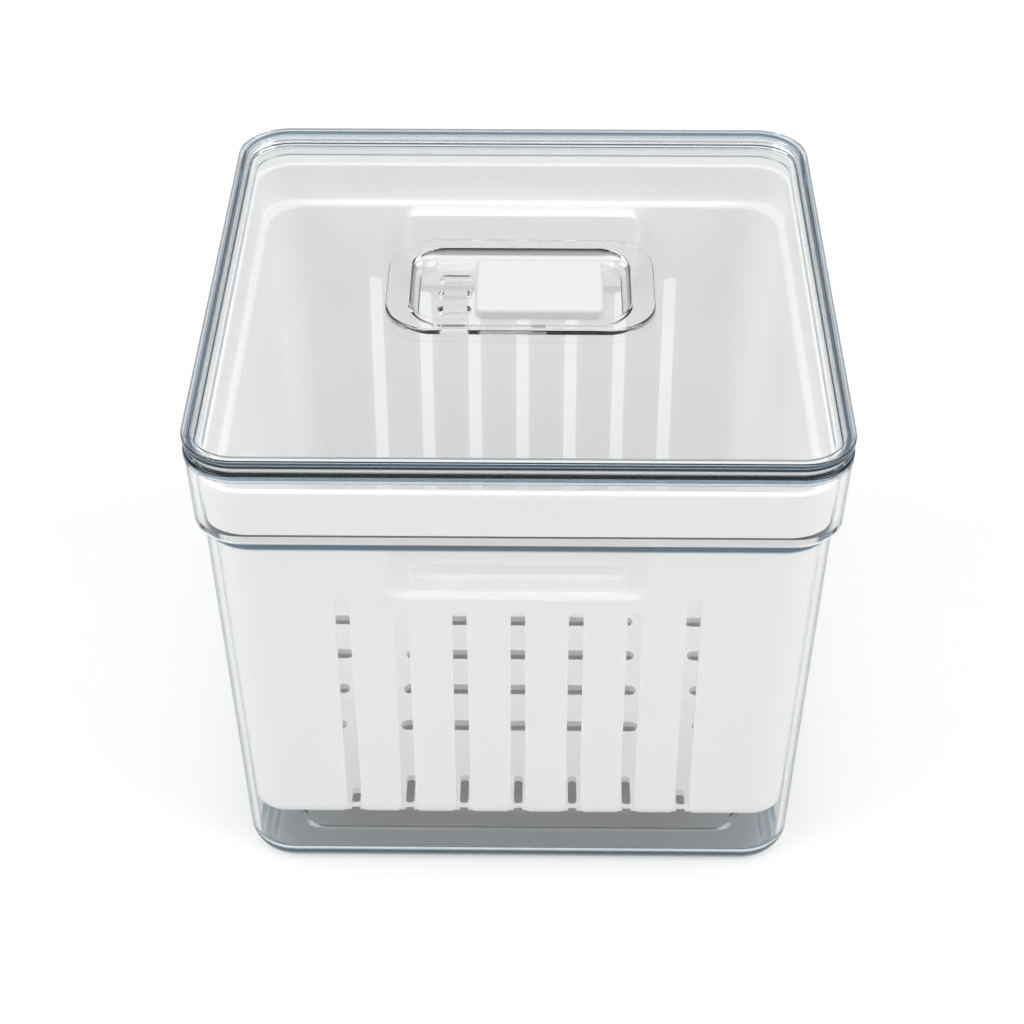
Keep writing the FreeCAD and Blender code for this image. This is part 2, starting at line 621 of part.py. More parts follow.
def make_basket():
    body = add_body("colander_basket")

    sketch = add_sketch(body, "basket_foot", "XY_Plane", "Sizes.basket_bottom")
    width = basket_width("Sizes.basket_bottom")
    add_rounded_rectangle(sketch, width, width, "Sizes.basket_corner")
    height = "%s - Sizes.basket_bottom" % STEP_UNDER
    add_pad(body, "basket_body", sketch, height, "Sizes.basket_draft")
    add_fillet(body, "basket_bottom_edge", "Sizes.basket_round", level("Sizes.basket_bottom"))

    sketch = add_sketch(body, "basket_step", "XY_Plane", STEP_UNDER)
    width = basket_band_width(STEP_UNDER)
    add_rounded_rectangle(sketch, width, width, "Sizes.basket_band_corner")
    add_pad(body, "basket_band", sketch, "%s - %s" % (BASKET_TOP, STEP_UNDER), "Sizes.band_draft")

    sketch = add_sketch(body, "basket_floor_outline", "XY_Plane", BASKET_FLOOR_TOP)
    width = "(%s - 2 * Sizes.basket_wall)" % basket_width(BASKET_FLOOR_TOP)
    corner = "(%s - Sizes.basket_wall)" % basket_corner(BASKET_FLOOR_TOP)
    add_rounded_rectangle(sketch, width, width, corner)
    depth = "%s - %s" % (STEP_TOP, BASKET_FLOOR_TOP)
    add_pocket(body, "basket_inside", sketch, depth, "Sizes.basket_draft", forward=True)

    sketch = add_sketch(body, "basket_ledge", "XY_Plane", STEP_TOP)
    ledge = "(%s - 2 * Sizes.basket_wall)" % basket_band_width(STEP_TOP)
    add_rounded_rectangle(sketch, ledge, ledge, "(Sizes.basket_band_corner - Sizes.basket_wall)")
    depth = "%s - %s" % (BASKET_TOP, STEP_TOP)
    add_pocket(body, "basket_mouth", sketch, depth, "Sizes.band_draft", forward=True)

    inner_round = "Sizes.basket_round - Sizes.basket_wall"
    add_fillet(body, "basket_floor_edge", inner_round, level(BASKET_FLOOR_TOP))
    add_fillet(body, "basket_step_hollow", "Sizes.step_hollow", level_ring(STEP_TOP, ledge))
    add_fillet(body, "basket_step_edge", "Sizes.step_round", level(STEP_TOP))
    add_fillet(body, "basket_rim_edges", "Sizes.rim_round", level(BASKET_TOP))

    add_grips(body)
    end = "(%s / 2 - Sizes.slot_margin)" % basket_width("Sizes.basket_bottom")
    pitch = "(%s / 3)" % end
    first = "-2 * %s" % pitch
    cuts = [
        add_wall_slot(body, "wall_slot", SLOT_TOP, first),
        add_floor_slot(body, "floor_slot", "Sizes.floor_slot_length", first),
        add_lip_hollow(body, "lip_hollow", first),
    ]
    add_both_ways(body, "wall_slots", cuts, pitch, 5)
    cuts = [
        add_wall_slot(body, "end_slot", END_SLOT_TOP, "-" + end),
        add_floor_slot(body, "end_floor_slot", "Sizes.end_floor_slot_length", "-" + end),
        add_lip_hollow(body, "end_lip_hollow", "-" + end),
    ]
    add_both_ways(body, "end_slots", cuts, "(2 * %s)" % end, 2)
    add_floor_rows(body)

    reach = value(end) + value("slot_width")
    add_fillet(body, "slot_outside_edges", "Sizes.slot_edge_round", slot_side(reach))
    add_fillet(body, "grip_outside_edges", "Sizes.grip_edge_round", grip_outline)
    return body


# The clear lid


def add_vent_cup(body):
    """The raised boss in the lid's middle, the sunken place in it and the cup that shows underneath."""
    sketch = add_sketch(body, "boss_outline", "XY_Plane", PANEL_UNDER)
    add_rounded_rectangle(sketch, "Sizes.boss_width", "Sizes.boss_depth", "Sizes.boss_corner")
    add_pad(body, "boss", sketch, "%s - %s" % (BOSS_TOP, PANEL_UNDER))
    add_fillet(body, "boss_edge", "Sizes.boss_round", level(BOSS_TOP))

    sketch = add_sketch(body, "cup_under_outline", "XY_Plane", CUP_UNDER)
    width = "(%s + 2 * Sizes.cup_floor)" % CUP_FLOOR_WIDTH
    depth = "(%s + 2 * Sizes.cup_floor)" % CUP_FLOOR_DEPTH
    add_rounded_rectangle(sketch, width, depth, "(Sizes.cup_corner - %s + Sizes.cup_floor)" % CUP_SLOPE)
    add_pad(body, "cup_under", sketch, "%s - %s" % (PANEL_TOP, CUP_UNDER), "Sizes.cup_lean")

    sketch = add_sketch(body, "cup_mouth", "XY_Plane", BOSS_TOP)
    add_rounded_rectangle(sketch, CUP_WIDTH, CUP_DEPTH, "Sizes.cup_corner")
    add_pocket(body, "cup", sketch, "Sizes.cup_sink", "-Sizes.cup_lean")
    add_fillet(body, "cup_edges", "Sizes.boss_round", level_ring(BOSS_TOP, CUP_WIDTH))


def add_vents(body):
    """Three air slots left of the slider, and the guide slot that its foot runs in."""
    vent_middle = "(Sizes.vent_margin + Sizes.vent_length / 2 - %s / 2)" % CUP_FLOOR_WIDTH
    sketch = add_sketch(body, "vent_outlines", "XY_Plane", CUP_FLOOR_TOP)
    for row, name in ((-1, "front_"), (0, "middle_"), (1, "back_")):
        middle = (vent_middle, "%d * Sizes.vent_pitch" % row)
        add_stadium(sketch, "Sizes.vent_length", "Sizes.vent_width", middle, name)
    add_pocket(body, "vents", sketch, "Sizes.cup_floor")

    sketch = add_sketch(body, "guide_outline", "XY_Plane", CUP_FLOOR_TOP)
    length = "(Sizes.foot_length + Sizes.slider_travel + 2 * Sizes.foot_gap)"
    middle = "(%s - Sizes.slider_travel / 2)" % SLIDER_MIDDLE
    width = "Sizes.guide_width"
    add_rounded_rectangle(sketch, length, width, "Sizes.guide_width / 4", (middle, "0"))
    add_pocket(body, "guide_slot", sketch, "Sizes.cup_floor")


def make_lid():
    body = add_body("lid")

    sketch = add_sketch(body, "lid_groove_outline", "XY_Plane", LID_EDGE_UNDER)
    width = "(%s - 2 * Sizes.groove_depth)" % band_width(LID_EDGE_UNDER)
    add_rounded_rectangle(sketch, width, width, "(%s - Sizes.groove_depth)" % band_corner(LID_EDGE_UNDER))
    add_pad(body, "lid_plate", sketch, "Sizes.lid_edge - Sizes.lid_flange / 2")

    sketch = add_sketch(body, "lid_flange_outline", "XY_Plane", FLANGE_UNDER)
    width = band_width(FLANGE_UNDER)
    add_rounded_rectangle(sketch, width, width, band_corner(FLANGE_UNDER))
    add_pad(body, "lid_flange", sketch, "Sizes.lid_flange", "Sizes.band_draft")
    add_fillet(body, "lid_flange_edge", "Sizes.rim_edge_round / 2", level_ring(FLANGE_UNDER, width))
    add_fillet(body, "lid_top_edge", "Sizes.rim_edge_round", level("Sizes.keeper_height"))

    plug_under = "(%s - Sizes.plug_depth)" % LID_EDGE_UNDER
    sketch = add_sketch(body, "plug_outline", "XY_Plane", plug_under)
    width = plug_width(plug_under)
    corner = "(%s - Sizes.bin_wall - Sizes.plug_gap)" % band_corner(plug_under)
    add_rounded_rectangle(sketch, width, width, corner)
    add_pad(body, "plug", sketch, "Sizes.plug_depth", "Sizes.band_draft")

    sketch = add_sketch(body, "panel_outline", "XY_Plane", "Sizes.keeper_height")
    width = "(Sizes.lid_width - 2 * Sizes.lid_rim)"
    add_rounded_rectangle(sketch, width, width, "(Sizes.lid_corner - Sizes.lid_rim)")
    add_pocket(body, "panel_recess", sketch, "Sizes.panel_drop", "-Sizes.rim_lean")
    add_fillet(body, "rim_foot", "Sizes.rim_foot_round", level(PANEL_TOP))

    sketch = add_sketch(body, "plug_inside_outline", "XY_Plane", plug_under)
    width = "(%s - 2 * Sizes.plug_wall)" % plug_width(plug_under)
    add_rounded_rectangle(sketch, width, width, "(%s - Sizes.plug_wall)" % corner)
    depth = "%s - %s" % (PANEL_UNDER, plug_under)
    add_pocket(body, "plug_inside", sketch, depth, forward=True)

    add_vent_cup(body)
    add_vents(body)
    return body


# The white vent slider


def make_slider():
    body = add_body("vent_slider")
    seat = "(%s + Sizes.seat_gap)" % CUP_FLOOR_TOP
    middle = (SLIDER_MIDDLE, "0")

    sketch = add_sketch(body, "slider_outline", "XY_Plane", seat)
    add_rounded_rectangle(sketch, SLIDER_LENGTH, SLIDER_DEPTH, "Sizes.slider_corner", middle)
    add_pad(body, "slider_plate", sketch, "Sizes.slider_thick")
    add_fillet(body, "slider_edges", "Sizes.slider_round", level(seat + " + Sizes.slider_thick"))

    stem_width = "(Sizes.guide_width - 2 * Sizes.foot_gap)"
    head_top = "(%s - Sizes.foot_gap)" % CUP_UNDER
    sketch = add_sketch(body, "foot_stem_outline", "XY_Plane", head_top)
    add_rounded_rectangle(sketch, "Sizes.foot_length", stem_width, "Sizes.guide_width / 6", middle)
    add_pad(body, "foot_stem", sketch, "%s - %s" % (seat, head_top))

    sketch = add_sketch(body, "foot_head_outline", "XY_Plane", "%s - Sizes.foot_head" % head_top)
    head_width = "(%s + 2 * Sizes.foot_barb)" % stem_width
    add_rounded_rectangle(sketch, "Sizes.foot_length", head_width, "Sizes.guide_width / 6", middle)
    add_pad(body, "foot_head", sketch, "Sizes.foot_head")
    return body


bodies = [make_bin(), make_basket(), make_lid(), make_slider()]
doc.recompute()

for item in doc.Objects:
    if "Invalid" in item.State or "Error" in item.State:
        raise RuntimeError("%s is in state %s" % (item.Name, item.State))

os.makedirs("parts", exist_ok=True)
for body in bodies:
    if body.Shape.isNull() or not body.Shape.isValid():
        raise RuntimeError(body.Label + " has no valid shape")
    body.Shape.exportStep("parts/%s.step" % body.Label)
    box = body.Shape.BoundBox
    print("%s %.1f cm3, z %.1f to %.1f" % (body.Label, body.Shape.Volume / 1000, box.ZMin, box.ZMax))
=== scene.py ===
import math

import bmesh
import bpy
from bpy.props import FloatProperty, FloatVectorProperty, PointerProperty, StringProperty
from mathutils import Euler, Matrix, Vector


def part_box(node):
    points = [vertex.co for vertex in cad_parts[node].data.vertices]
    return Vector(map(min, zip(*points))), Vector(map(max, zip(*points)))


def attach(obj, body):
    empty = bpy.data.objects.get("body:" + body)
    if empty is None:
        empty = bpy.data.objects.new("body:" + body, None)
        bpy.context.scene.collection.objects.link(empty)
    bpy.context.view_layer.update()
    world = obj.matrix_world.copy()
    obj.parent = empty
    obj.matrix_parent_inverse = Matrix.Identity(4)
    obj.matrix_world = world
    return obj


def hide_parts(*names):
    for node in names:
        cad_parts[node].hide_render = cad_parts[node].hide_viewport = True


# Looks of a square fridge keeper: a clear bin, a white colander basket in it, a clear lid and a white vent slider.
# Lengths are in metres. X runs to the right, Y to the back and Z up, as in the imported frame.

bl_info = {
    "name": "Fridge keeper",
    "version": (1, 0, 0),
    "blender": (4, 5, 0),
    "location": "3D View > Sidebar > Keeper",
    "description": "Dresses a clear fridge keeper with a white colander basket and sets it on a studio floor",
    "category": "Object",
}

MM = 0.001
BAND_DRAFT = math.radians(3)  # lean of the bin above its shoulder
SHOULDER_STEP = 1.8 * MM  # how far the shoulder stands out
SHOULDER_DROP = 26 * MM  # from the lid's top to the bin's shoulder
LID_CORNER = 14 * MM  # plan radius of the lid's corners
EDGE_FADE = 0.35 * MM  # how softly an edge's tint ends
EDGE_SHARE = 0.8  # share of the foot's outer radius that parts its outer edge from its inner one
EDGE_SLACK = 0.4 * MM  # how far past its end a round edge's points are still taken as its own
CUP_HALF = (29.0 * MM, 17.5 * MM)  # half the width and half the depth of the vent's cup, with its rounds
CUP_SIDES = (4.5 * MM, 2.0 * MM)  # from and to how far below the lid's top the cup's sides go
SEAM_HEIGHTS = (0.5 * MM, 1.8 * MM)  # from and to how far above the bin's mouth the dull seam goes
SEAM_REACH = 12.4 * MM  # how far out the dull seam starts
FOOT_REACH = 2 * MM  # how far out, at most, the bin's floor is counted
CORNER_SLACK = 0.02 * MM  # how far outside a corner a point is still taken as its own
MERGE_GAP = 0.001 * MM  # points nearer than this are one point
SLIDER_HAZE = 0.05  # how much rougher or smoother than its mean the slider gets
HAZE_PATCH = 6 * MM  # size of the patches that handling leaves on the slider
FLOOR_WIDTH = 12.0  # so wide that the camera never sees its edge against the keeper
SENSOR_WIDTH = 36.0  # of the camera, in millimetres
WALL_TOP, ROOF_START = 0.36, 0.62  # sine of the angle up to the top of the room's walls and to its white roof
KEEPER_MIDDLE = Vector((0, 0, 0.07))  # what the lamps face
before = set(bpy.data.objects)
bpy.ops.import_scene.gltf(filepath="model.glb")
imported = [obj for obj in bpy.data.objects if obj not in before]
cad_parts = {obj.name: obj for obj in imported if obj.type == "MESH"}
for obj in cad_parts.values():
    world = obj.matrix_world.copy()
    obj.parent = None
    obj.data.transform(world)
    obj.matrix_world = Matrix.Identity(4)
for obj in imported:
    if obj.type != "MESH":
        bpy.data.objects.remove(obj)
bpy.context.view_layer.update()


def linear(hex_colour):
    """An sRGB hex colour as a linear colour with full alpha."""
    channels = [int(hex_colour.lstrip("#")[i : i + 2], 16) / 255 for i in (0, 2, 4)]
    return [c / 12.92 if c <= 0.04045 else ((c + 0.055) / 1.055) ** 2.4 for c in channels] + [1.0]


def add_node(tree, kind, label="", links=None, **settings):
    """Adds a node. Settings that name an input set its value, others set the node's own; links feed inputs."""
    node = tree.nodes.new(kind)
    node.label = label
    for name, setting in settings.items():
        if hasattr(node, name):
            setattr(node, name, setting)
        else:
            node.inputs[name.replace("_", " ")].default_value = setting
    for name, source in (links or {}).items():
        tree.links.new(source, node.inputs[name])
    return node


def new_material(name):
    """An empty material and its node tree."""
    material = bpy.data.materials.new(name)
    material.use_nodes = True
    material.node_tree.nodes.clear()
    return material, material.node_tree


# Sizes and colours that a user may change


class ClearPlastic(bpy.types.PropertyGroup):
    colour: StringProperty(name="Colour", description="What the clear plastic lets through", default="#FEFEFE")
    # Painted shade: the blue-grey put on walls seen along their face.
    side_shade_colour: StringProperty(
        name="Painted side shade", description="Tint of walls seen along their face", default="#93B2C6"
    )
    # Painted shade: the navy put on the darkest edges.
    edge_shade_colour: StringProperty(name="Painted edge shade", description="Tint of the darkest edges", default="#1E3347")
    passed_colour: StringProperty(
        name="Passed light", description="What one face lets through to the pieces inside", default="#FEFEFE"
    )
    # Painted contact shade: the darker light let through at the foot shades the table under and around it.
    foot_shade_colour: StringProperty(
        name="Painted shade at the foot", description="What one face lets through right above the table", default="#8A949B"
    )
    foot_height: FloatProperty(
        name="Foot height", description="Up to where the foot dims the light", default=2.5 * MM, unit="LENGTH"
    )
    # Painted shade: the darker light let through the bin's floor shades the table under the bin.
    plate_shade_colour: StringProperty(
        name="Painted shade under the floor", description="What one face of the bin's floor lets through", default="#ABB2B7"
    )
    floor_height: FloatProperty(
        name="Floor height", description="Below this lies the bin's floor", default=6 * MM, unit="LENGTH"
    )
    cup_dullness: FloatProperty(
        name="Cup dullness", description="How dull the mould leaves the sides of the vent's cup", default=0.55
    )
    seam_colour: StringProperty(name="Seam colour", description="Dull seam under the lid's rim", default="#F8FBFC")
    seam_roughness: FloatProperty(
        name="Seam roughness", description="Roughness where the plastic is fully dull", default=0.5, subtype="FACTOR"
    )
    seam_clearness: FloatProperty(
        name="Seam clearness", description="What a fully dull place still lets through", default=0.3, subtype="FACTOR"
    )
    # Painted shade on walls seen along their face: where its blue-grey sits on the ramp, how edge-on a wall must be
    # seen before it starts, and how strong it gets.
    side_shade_point: FloatProperty(
        name="Side shade point", description="How gathered the light is that has the side colour", default=0.45
    )
    graze_shade_start: FloatProperty(
        name="Side shade start", description="How far along its face a wall is seen before it gathers light", default=0.7
    )
    graze_shade_strength: FloatProperty(
        name="Side shade strength", description="How gathered the light is of a wall seen right along its face", default=0.8
    )
    ior: FloatProperty(name="IOR", description="How strongly the clear plastic bends light", default=1.56)
    roughness: FloatProperty(name="Roughness", description="Polish of the mould", default=0.012, subtype="FACTOR")
    wave: FloatProperty(
        name="Wave", description="Size of the hazier patches that cooling leaves", default=28 * MM, unit="LENGTH"
    )


class BinFoot(bpy.types.PropertyGroup):
    corner: FloatProperty(
        name="Corner", description="Plan radius of the bin's corners at the table", default=9.0 * MM, unit="LENGTH"
    )
    draft: FloatProperty(
        name="Draft",
        description="Lean of the bin's walls below the shoulder",
        default=math.radians(1.95),
        subtype="ANGLE",
    )
    outer_round: FloatProperty(
        name="Outer round",
        description="Radius of the bottom edge in the packed model",
        default=5.0 * MM,
        unit="LENGTH",
    )
    inner_round: FloatProperty(
        name="Inner round", description="The same edge inside the bin", default=3.0 * MM, unit="LENGTH"
    )
    wall: FloatProperty(name="Wall", description="Thickness of the bin's wall", default=2.0 * MM, unit="LENGTH")
    plate: FloatProperty(name="Plate", description="Thickness of the bin's floor", default=2.2 * MM, unit="LENGTH")
    more_round: FloatProperty(
        name="More round", description="Added to both radii, as the photo shows", default=2.4 * MM, unit="LENGTH"
    )


class WhitePlastic(bpy.types.PropertyGroup):
    colour: StringProperty(name="Colour", description="Colour of the colander basket", default="#FAFAF9")
    slider_colour: StringProperty(name="Slider colour", description="Colour of the vent slider", default="#E8E9E8")
    roughness: FloatProperty(name="Roughness", description="Satin of the basket", default=0.42, subtype="FACTOR")
    glow: FloatProperty(
        name="Glow", description="Share of the light that goes into the wall", default=0.3, subtype="FACTOR"
    )
    grain: FloatProperty(
        name="Grain", description="Size of the mould's spark-eroded grain", default=0.35 * MM, unit="LENGTH"
    )
    grain_depth: FloatProperty(
        name="Grain depth", description="Depth of the grain", default=0.03 * MM, unit="LENGTH", precision=5
    )
    grain_strength: FloatProperty(
        name="Grain strength", description="How much of the grain shows", default=0.12, subtype="FACTOR"
    )
    scatter: FloatProperty(
        name="Scatter", description="How far light spreads in the wall", default=3.5 * MM, unit="LENGTH"
    )
    slider_roughness: FloatProperty(
        name="Slider roughness", description="Polish of the slider", default=0.31, subtype="FACTOR"
    )
    slider_glow: FloatProperty(
        name="Slider glow", description="Share of the light that goes into the slider", default=0.08, subtype="FACTOR"
    )


class Studio(bpy.types.PropertyGroup):
    floor_colour: StringProperty(name="Floor colour", description="Colour of the floor", default="#E4E5E5")
    floor_lift: FloatProperty(
        name="Floor lift", description="White added to the floor as the camera sees it", default=0.26
    )
    seen_lift: FloatProperty(
        name="Seen lift", description="White added to the floor as seen in or through a piece", default=0.1
    )
    room_colour: StringProperty(
        name="Room colour", description="The room's walls, seen in or through the clear plastic", default="#3E5A70"
    )
    horizon_light: FloatProperty(
        name="Horizon light", description="Share of the light from overhead that comes from the side", default=0.15
    )
    lamp_place: FloatVectorProperty(
        name="Lamp place",
        description="The right lamp; the left one mirrors it",
        default=(1.25, -0.45, 1.25),
        unit="LENGTH",
    )
    lamp_size: FloatProperty(name="Lamp size", description="Width of each soft lamp", default=1.0, unit="LENGTH")
    lamp_power: FloatProperty(name="Lamp power", description="Watts of each lamp", default=10.0)
    focal_length: FloatProperty(name="Focal length", description="Camera lens, on a 36 mm sensor", default=80.94)
    distance: FloatProperty(
        name="Distance", description="Camera to the point it looks at", default=643.21 * MM, unit="LENGTH"
    )
    pitch: FloatProperty(
        name="Pitch", description="How far the camera looks down", default=math.radians(38.06), subtype="ANGLE"
    )
    yaw: FloatProperty(
        name="Yaw", description="How far the camera turns aside", default=math.radians(-0.76), subtype="ANGLE"
    )
    roll: FloatProperty(name="Roll", description="Camera tilt", default=math.radians(-0.12), subtype="ANGLE")
    target: FloatVectorProperty(
        name="Target",
        description="Point that the camera looks at",
        default=(-2.38 * MM, 0, 65.16 * MM),
        unit="LENGTH",
    )


# Materials


def add_band(tree, height, aside, band, before=None):
    """A soft band between two heights, outside a rounded square. The stronger of it and an earlier band counts."""
    low, high, reach, strength = band
    away = add_node(tree, "ShaderNodeMath", "height from the band", {0: height}, operation="SUBTRACT")
    away.inputs[1].default_value = (low + high) / 2
    apart = add_node(tree, "ShaderNodeMath", "", {0: away.outputs[0]}, operation="ABSOLUTE")
    half = (high - low) / 2
    level = add_node(
        tree,
        "ShaderNodeMapRange",
        "band",
        {"Value": apart.outputs[0]},
        From_Min=half + EDGE_FADE,
        From_Max=max(half - EDGE_FADE, 0.0),
        To_Max=strength,
    )
    beyond = add_node(tree, "ShaderNodeMath", "far enough out", {0: aside}, operation="GREATER_THAN")
    beyond.inputs[1].default_value = reach
    both = add_node(
        tree, "ShaderNodeMath", "", {0: level.outputs["Result"], 1: beyond.outputs[0]}, operation="MULTIPLY"
    )
    if before is None:
        return both.outputs[0]
    most = add_node(tree, "ShaderNodeMath", "", {0: before, 1: both.outputs[0]}, operation="MAXIMUM")
    return most.outputs[0]


def clear_styrene(look, edges, seam, corner, cup):
    """Styrene-acrylonitrile, injection moulded in a polished mould.

    It is hard and very clear, bends light strongly and mirrors its surroundings. Its long edges, and walls seen along
    their face, get a painted blue-grey to navy shade, which stands in for the dark, tinted reflections and bent light
    seen there. The seam under the lid's rim is left dull by the mould and shows pale. It cools unevenly, which leaves
    patches of the polish a trace hazier than others. Near the table and across the bin's floor, the light that it
    lets
    through is darkened: painted contact shade on the table under and around the bin's foot.

    Each painted edge shade, and the seam, is a height from and to, how far out it starts from the square through the
    corners' middles, and its strength. The corner is how far from the keeper's middle line those middles stand. The
    cup is half the width and half the depth of the vent's sunken cup, and from and to which height its sides go.
    """
    material, tree = new_material("clear_styrene_moulded")
    place = add_node(tree, "ShaderNodeTexCoord")
    point = place.outputs["Object"]
    waves = add_node(
        tree, "ShaderNodeTexNoise", "cooling waves", {"Vector": point}, Scale=1 / look.wave, Detail=0.0
    )
    height = add_node(tree, "ShaderNodeSeparateXYZ", "", {"Vector": point}).outputs["Z"]
    flat = add_node(tree, "ShaderNodeVectorMath", "seen from above", {0: point}, operation="MULTIPLY")
    flat.inputs[1].default_value = (1, 1, 0)
    quarter = add_node(tree, "ShaderNodeVectorMath", "", {0: flat.outputs[0]}, operation="ABSOLUTE")
    past = add_node(
        tree, "ShaderNodeVectorMath", "past the corner's middle", {0: quarter.outputs[0]}, operation="SUBTRACT"
    )
    past.inputs[1].default_value = (corner, corner, 0)
    only = add_node(tree, "ShaderNodeVectorMath", "", {0: past.outputs[0]}, operation="MAXIMUM")
    out = add_node(tree, "ShaderNodeVectorMath", "how far out", {0: only.outputs[0]}, operation="LENGTH")
    aside = out.outputs["Value"]
    # Painted shade: bands at the long edges turn the clear colour towards a painted blue-grey and navy.
    bands = None
    for edge in edges:
        bands = add_band(tree, height, aside, edge, bands)
    # Painted shade on walls seen along their face, darker the more edge-on they are seen.
    slant = add_node(tree, "ShaderNodeLayerWeight", "along the face", None, Blend=0.5)
    gathered = add_node(
        tree,
        "ShaderNodeMapRange",
        "painted shade of a wall seen along its face",
        {"Value": slant.outputs["Facing"]},
        From_Min=look.graze_shade_start,
        To_Max=look.graze_shade_strength,
    )
    share = add_node(tree, "ShaderNodeMath", "", {0: bands, 1: gathered.outputs["Result"]}, operation="MAXIMUM")
    tint = add_node(tree, "ShaderNodeValToRGB", "painted edge and side shade", {"Fac": share.outputs[0]})
    ramp = tint.color_ramp
    ramp.elements[0].color = linear(look.colour)
    ramp.elements[1].color = linear(look.edge_shade_colour)
    ramp.elements.new(look.side_shade_point).color = linear(look.side_shade_colour)
    dull = add_band(tree, height, aside, seam)
    near = add_node(tree, "ShaderNodeVectorMath", "within the cup", {0: quarter.outputs[0]}, operation="SUBTRACT")
    near.inputs[1].default_value = (cup[0], cup[1], 0)
    spans = add_node(tree, "ShaderNodeSeparateXYZ", "", {"Vector": near.outputs[0]})
    widest = add_node(
        tree, "ShaderNodeMath", "", {0: spans.outputs["X"], 1: spans.outputs["Y"]}, operation="MAXIMUM"
    )
    in_cup = add_node(tree, "ShaderNodeMath", "", {0: widest.outputs[0]}, operation="LESS_THAN")
    in_cup.inputs[1].default_value = 0.0
    level = add_band(tree, height, aside, (cup[2], cup[3], -1.0, 1.0))
    sides = add_node(
        tree, "ShaderNodeMath", "the cup's sides", {0: in_cup.outputs[0], 1: level}, operation="MULTIPLY"
    )
    softer = add_node(tree, "ShaderNodeMath", "", {0: sides.outputs[0]}, operation="MULTIPLY")
    softer.inputs[1].default_value = look.cup_dullness
    most = add_node(tree, "ShaderNodeMath", "", {0: dull, 1: softer.outputs[0]}, operation="MAXIMUM")
    dull = most.outputs[0]
    pale = add_node(tree, "ShaderNodeMix", "pale seam", {"Factor": dull}, data_type="RGBA")
    tree.links.new(tint.outputs["Color"], pale.inputs[6])
    pale.inputs[7].default_value = linear(look.seam_colour)
    haze = add_node(
        tree,
        "ShaderNodeMapRange",
        "haze left by cooling",
        {"Value": waves.outputs["Fac"]},
        To_Min=look.roughness * 0.5,
        To_Max=look.roughness * 1.5,
    )
    dulled = {"Value": dull, "To Min": haze.outputs["Result"]}
    polish = add_node(tree, "ShaderNodeMapRange", "polish", dulled, To_Max=look.seam_roughness)
    clearness = add_node(
        tree, "ShaderNodeMapRange", "clearness", {"Value": dull}, To_Min=1.0, To_Max=look.seam_clearness
    )
    body = add_node(
        tree,
        "ShaderNodeBsdfPrincipled",
        "",
        {
            "Base Color": pale.outputs[2],
            "Roughness": polish.outputs["Result"],
            "Transmission Weight": clearness.outputs["Result"],
        },
        IOR=look.ior,
    )
    # Painted contact shade: right above the table and across the bin's floor, the light let through is darkened, so
    # the table under and around the bin's foot is shaded.
    low_down = add_node(
        tree, "ShaderNodeMapRange", "painted contact shade at the foot", {"Value": height}, From_Min=look.foot_height, From_Max=0.0
    )
    passed = add_node(
        tree, "ShaderNodeMix", "passed light", {"Factor": low_down.outputs["Result"]}, data_type="RGBA"
    )
    passed.inputs[6].default_value = linear(look.passed_colour)
    passed.inputs[7].default_value = linear(look.foot_shade_colour)
    inside = add_node(tree, "ShaderNodeMath", "inside the foot", {0: aside}, operation="LESS_THAN")
    inside.inputs[1].default_value = FOOT_REACH
    low = add_node(tree, "ShaderNodeMath", "the bin's floor", {0: height}, operation="LESS_THAN")
    low.inputs[1].default_value = look.floor_height
    plate = add_node(tree, "ShaderNodeMath", "", {0: inside.outputs[0], 1: low.outputs[0]}, operation="MULTIPLY")
    under = add_node(tree, "ShaderNodeMix", "painted shade under the bin's floor", {"Factor": plate.outputs[0]}, data_type="RGBA")
    tree.links.new(passed.outputs[2], under.inputs[6])
    under.inputs[7].default_value = linear(look.plate_shade_colour)
    clear = add_node(tree, "ShaderNodeBsdfTransparent", "lets light through", {"Color": under.outputs[2]})
    rays = add_node(tree, "ShaderNodeLightPath")
    surface = body
    for kind in ("Is Diffuse Ray", "Is Shadow Ray"):
        mix = add_node(tree, "ShaderNodeMixShader", kind)
        tree.links.new(rays.outputs[kind], mix.inputs[0])
        tree.links.new(surface.outputs[0], mix.inputs[1])
        tree.links.new(clear.outputs[0], mix.inputs[2])
        surface = mix
    add_node(tree, "ShaderNodeOutputMaterial", "", {"Surface": surface.outputs[0]})
    return material


def white_polypropylene(look):
    """Polypropylene, injection moulded in a spark-eroded mould.

    It is white through and through, a little waxy, and lets light some way in, so thin lips glow. The mould's fine
    grain gives it a satin gloss with no sharp reflection.
    """
    material, tree = new_material("white_polypropylene_satin")
    place = {"Vector": add_node(tree, "ShaderNodeTexCoord").outputs["Object"]}
    grain = add_node(tree, "ShaderNodeTexNoise", "spark grain", place, Scale=1 / look.grain, Detail=2.0)
    gloss = add_node(
        tree,
        "ShaderNodeMapRange",
        "gloss of the grain",
        {"Value": grain.outputs["Fac"]},
        To_Min=look.roughness - 0.05,
        To_Max=look.roughness + 0.07,
    )
    bump = add_node(
        tree,
        "ShaderNodeBump",
        "",
        {"Height": grain.outputs["Fac"]},
        Strength=look.grain_strength,
        Distance=look.grain_depth,
    )
    body = add_node(
        tree,
        "ShaderNodeBsdfPrincipled",
        "",
        {"Normal": bump.outputs["Normal"], "Roughness": gloss.outputs["Result"]},
        Base_Color=linear(look.colour),
        IOR=1.49,
        subsurface_method="BURLEY",
        Subsurface_Weight=look.glow,
        Subsurface_Radius=(1.0, 1.0, 0.98),
        Subsurface_Scale=look.scatter,
    )
    add_node(tree, "ShaderNodeOutputMaterial", "", {"Surface": body.outputs[0]})
    return material


